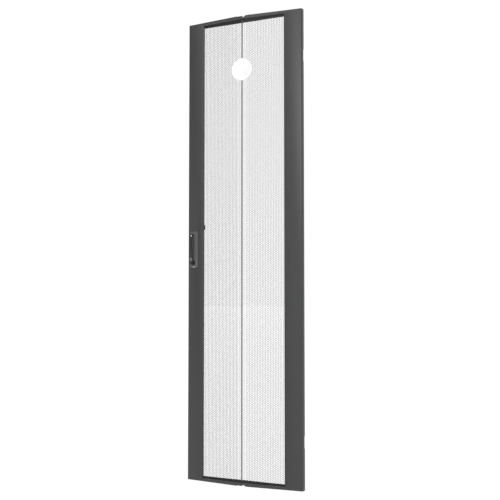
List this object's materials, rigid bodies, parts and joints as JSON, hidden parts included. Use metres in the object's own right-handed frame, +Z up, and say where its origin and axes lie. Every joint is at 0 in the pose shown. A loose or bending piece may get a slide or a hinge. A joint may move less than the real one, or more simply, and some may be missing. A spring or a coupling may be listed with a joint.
{
  "type": "perforated rack door",
  "caption": "Full-height V-folded steel rack door with a perforated sheet, round badge, swing handle that works two latch rods, and lift-off pin hinges.",
  "frame": {"origin": "on the lower hinge pin's axis, halfway along its free length", "axes": "+X across the door from the latch side to the hinge side, +Y from the outside of the door into the rack, +Z up"},
  "size_m": [0.598, 0.0732, 2.195],
  "materials": {
    "door_paint": "fine-textured powder coat, dark grey",
    "zinc_plate": "bright zinc plate",
    "spring_steel": "drawn wire",
    "chrome_trim": "polished",
    "lock_metal": "satin nickel",
    "lever_coat": "satin black coat on a casting",
    "housing_plastic": "moulded, fine texture",
    "black_plastic": "moulded",
    "bumper_rubber": "matt",
    "badge_plastic": "satin white"
  },
  "bodies": {
    "door": {"door_skin": "door_paint", "perforated_sheet": "door_paint", "latch_stiffener": "door_paint", "hinge_stiffener": "door_paint", "hinge_bracket_upper": "zinc_plate", "hinge_bracket_lower": "zinc_plate", "hinge_screws": "zinc_plate", "hinge_pin_lower": "zinc_plate", "hinge_washer": "black_plastic", "badge": "badge_plastic", "badge_push_nuts": "zinc_plate", "handle_housing": "housing_plastic", "lock_keeper": "zinc_plate", "housing_insert": "chrome_trim", "handle_screws": "zinc_plate", "latch_plate": "door_paint", "latch_plate_screws": "zinc_plate", "rod_guides": "black_plastic", "guide_screws": "zinc_plate", "door_bumpers": "bumper_rubber", "earth_stud": "zinc_plate", "earth_washer": "zinc_plate", "earth_nut": "zinc_plate"},
    "spindle": {"spindle": "lever_coat", "spindle_cap": "chrome_trim", "lever_pin": "zinc_plate", "latch_cam": "zinc_plate", "cam_clips": "zinc_plate"},
    "lever": {"swing_lever": "lever_coat"},
    "lock": {"lock_cylinder": "lock_metal", "lock_tongue": "zinc_plate", "tongue_screw": "zinc_plate"},
    "upper_rod": {"latch_rod_upper": "zinc_plate", "rod_tip_upper": "black_plastic"},
    "lower_rod": {"latch_rod_lower": "zinc_plate", "rod_tip_lower": "black_plastic"},
    "hinge_pin": {"hinge_pin_upper": "zinc_plate", "hinge_pin_handle": "black_plastic", "hinge_spring": "spring_steel"}
  },
  "joints": [
    {"name": "lever_turn", "type": "hinge", "parent": "door", "child": "spindle", "pos_m": [-0.55896, -0.02034, 0.939], "axis": [-0.0932, -0.9956, 0], "range_deg": [0, 90]},
    {"name": "lever_lift", "type": "hinge", "parent": "spindle", "child": "lever", "pos_m": [-0.55969, -0.02821, 0.931], "axis": [-0.9956, 0.0932, 0], "range_deg": [0, 30]},
    {"name": "lock_turn", "type": "hinge", "parent": "lever", "child": "lock", "pos_m": [-0.55896, -0.02034, 0.825], "axis": [0.0932, 0.9956, 0], "range_deg": [0, 90]},
    {"name": "upper_rod_slide", "type": "slide", "parent": "door", "child": "upper_rod", "axis": [0, 0, 1], "range_m": [-0.017, 0]},
    {"name": "lower_rod_slide", "type": "slide", "parent": "door", "child": "lower_rod", "axis": [0, 0, 1], "range_m": [0, 0.017]},
    {"name": "hinge_pin_slide", "type": "slide", "parent": "door", "child": "hinge_pin", "axis": [0, 0, 1], "range_m": [0, 0.011], "stiffness_N_per_m": 300, "springref_m": -0.01, "deforming": ["hinge_spring"]}
  ],
  "couplings": [
    {"joint": "upper_rod_slide", "follows": "lever_turn", "m_per_rad": -0.010804},
    {"joint": "lower_rod_slide", "follows": "lever_turn", "m_per_rad": 0.010804}
  ]
}
